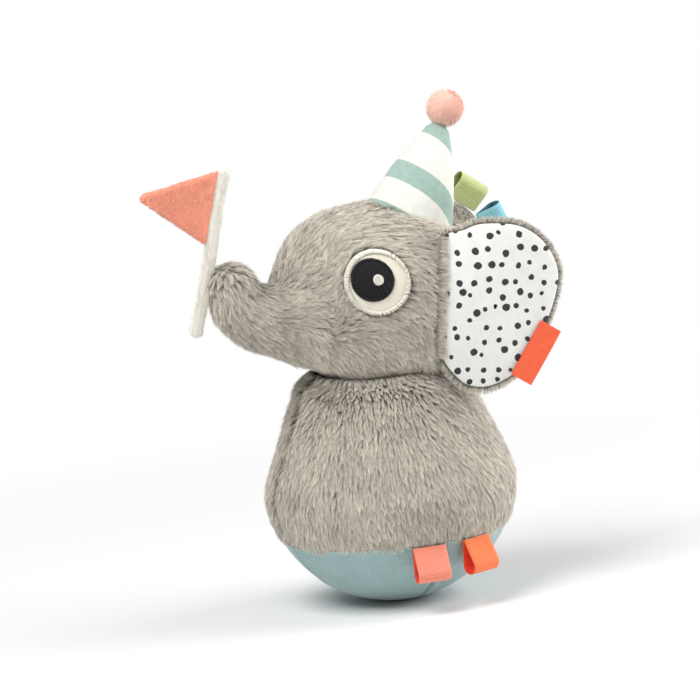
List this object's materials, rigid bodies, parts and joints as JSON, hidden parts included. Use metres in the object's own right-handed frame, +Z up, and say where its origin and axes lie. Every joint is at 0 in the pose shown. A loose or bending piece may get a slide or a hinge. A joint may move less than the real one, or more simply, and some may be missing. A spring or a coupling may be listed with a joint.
{
  "type": "roly poly toy",
  "caption": "Weighted roly-poly plush elephant: round rocking base with a chime inside, bell-shaped body, flapping ears, party hat, pennant and ribbon loops; rights itself when tipped.",
  "frame": {"origin": "middle of the flat that the round base stands on, on the floor", "axes": "+Z up, -Y to the front (trunk), +X to the toy's own left"},
  "size_m": [0.1118, 0.1883, 0.2211],
  "materials": {
    "plush": "short grey-beige pile plush, matte",
    "jersey": "dusty teal cotton jersey, fine knit, matte",
    "cream_cloth": "cream felt and cotton, matte",
    "print_cotton": "white cotton with black dots, matte",
    "white_thread": "white satin stitch, slight sheen",
    "black_thread": "black satin stitch, slight sheen",
    "coral_ribbon": "coral grosgrain ribbon, fine cross ribs",
    "orange_ribbon": "orange grosgrain ribbon and satin label",
    "green_ribbon": "sage green grosgrain ribbon",
    "blue_ribbon": "light blue grosgrain ribbon",
    "hat_cotton": "sage and off-white striped cotton",
    "pompom": "peach pile pompom",
    "coral_velour": "coral velour, short nap",
    "wadding": "white polyester wadding",
    "abs": "moulded white plastic",
    "iron": "cast iron, as cast",
    "steel": "zinc-plated steel",
    "brass": "polished brass"
  },
  "bodies": {
    "toy": {"base_gore_front_left": "jersey", "base_gore_back_left": "jersey", "base_gore_back_right": "jersey", "base_gore_front_right": "jersey", "rocker_bowl": "abs", "counterweight": "iron", "counterweight_screws": "steel", "rocker_dome": "abs", "dome_screws": "steel", "chime_hub": "abs", "chime_hub_screw": "steel", "chime_rods": "brass", "clapper_pin": "steel", "body_panel_left": "plush", "body_panel_right": "plush", "body_stuffing": "wadding", "head_panel_left": "plush", "head_panel_right": "plush", "head_gusset": "plush", "head_stuffing": "wadding", "left_eye_patch": "cream_cloth", "left_eye_rim": "white_thread", "left_pupil": "black_thread", "left_eye_glint": "white_thread", "right_eye_patch": "cream_cloth", "right_eye_rim": "white_thread", "right_pupil": "black_thread", "right_eye_glint": "white_thread", "hat_cone": "hat_cotton", "hat_stuffing": "wadding", "hat_pompom": "pompom"},
    "clapper": {"clapper": "brass"},
    "left_ear": {"left_ear_front": "print_cotton", "left_ear_back": "plush"},
    "right_ear": {"right_ear_front": "print_cotton", "right_ear_back": "plush"},
    "flag": {"flag_pole": "cream_cloth", "flag_front": "coral_velour", "flag_back": "coral_velour"},
    "coral_loop": {"base_loop_coral": "coral_ribbon"},
    "orange_loop": {"base_loop_orange": "orange_ribbon"},
    "green_loop": {"ear_loop_green": "green_ribbon"},
    "blue_loop": {"ear_loop_blue": "blue_ribbon"},
    "label": {"ear_label": "orange_ribbon"}
  },
  "joints": [
    {"name": "clapper_swing", "type": "hinge", "parent": "toy", "child": "clapper", "pos_m": [0, 0, 0.0478], "axis": [1, 0, 0], "range_deg": [-18, 18]},
    {"name": "left_ear_flap", "type": "hinge", "parent": "toy", "child": "left_ear", "pos_m": [0.0378, 0.0164, 0.1359], "axis": [-0.0127, -0.1212, -0.9925], "range_deg": [-3, 45]},
    {"name": "right_ear_flap", "type": "hinge", "parent": "toy", "child": "right_ear", "pos_m": [-0.0378, 0.0164, 0.1359], "axis": [-0.0127, 0.1212, 0.9925], "range_deg": [-3, 45]},
    {"name": "flag_swing", "type": "hinge", "parent": "toy", "child": "flag", "pos_m": [0, -0.07423, 0.15129], "axis": [0, -0.9613, 0.2756], "range_deg": [-12, 12]},
    {"name": "coral_loop_flip", "type": "hinge", "parent": "toy", "child": "coral_loop", "pos_m": [0.05062, -0.00354, 0.0303], "axis": [-0.0698, -0.9976, 0], "range_deg": [-8, 60]},
    {"name": "orange_loop_flip", "type": "hinge", "parent": "toy", "child": "orange_loop", "pos_m": [0.04671, 0.01983, 0.0303], "axis": [0.3907, -0.9205, 0], "range_deg": [-8, 60]},
    {"name": "green_loop_flip", "type": "hinge", "parent": "right_ear", "child": "green_loop", "pos_m": [-0.04254, 0.06153, 0.1622], "axis": [-0.0838, 0.7971, -0.598], "range_deg": [-40, 40]},
    {"name": "blue_loop_flip", "type": "hinge", "parent": "right_ear", "child": "blue_loop", "pos_m": [-0.04357, 0.07134, 0.14907], "axis": [-0.0383, 0.3647, -0.9303], "range_deg": [-40, 40]},
    {"name": "label_flip", "type": "hinge", "parent": "left_ear", "child": "label", "pos_m": [0.04327, 0.05296, 0.1097], "axis": [-0.061, -0.58, -0.8123], "range_deg": [0, 60]}
  ]
}
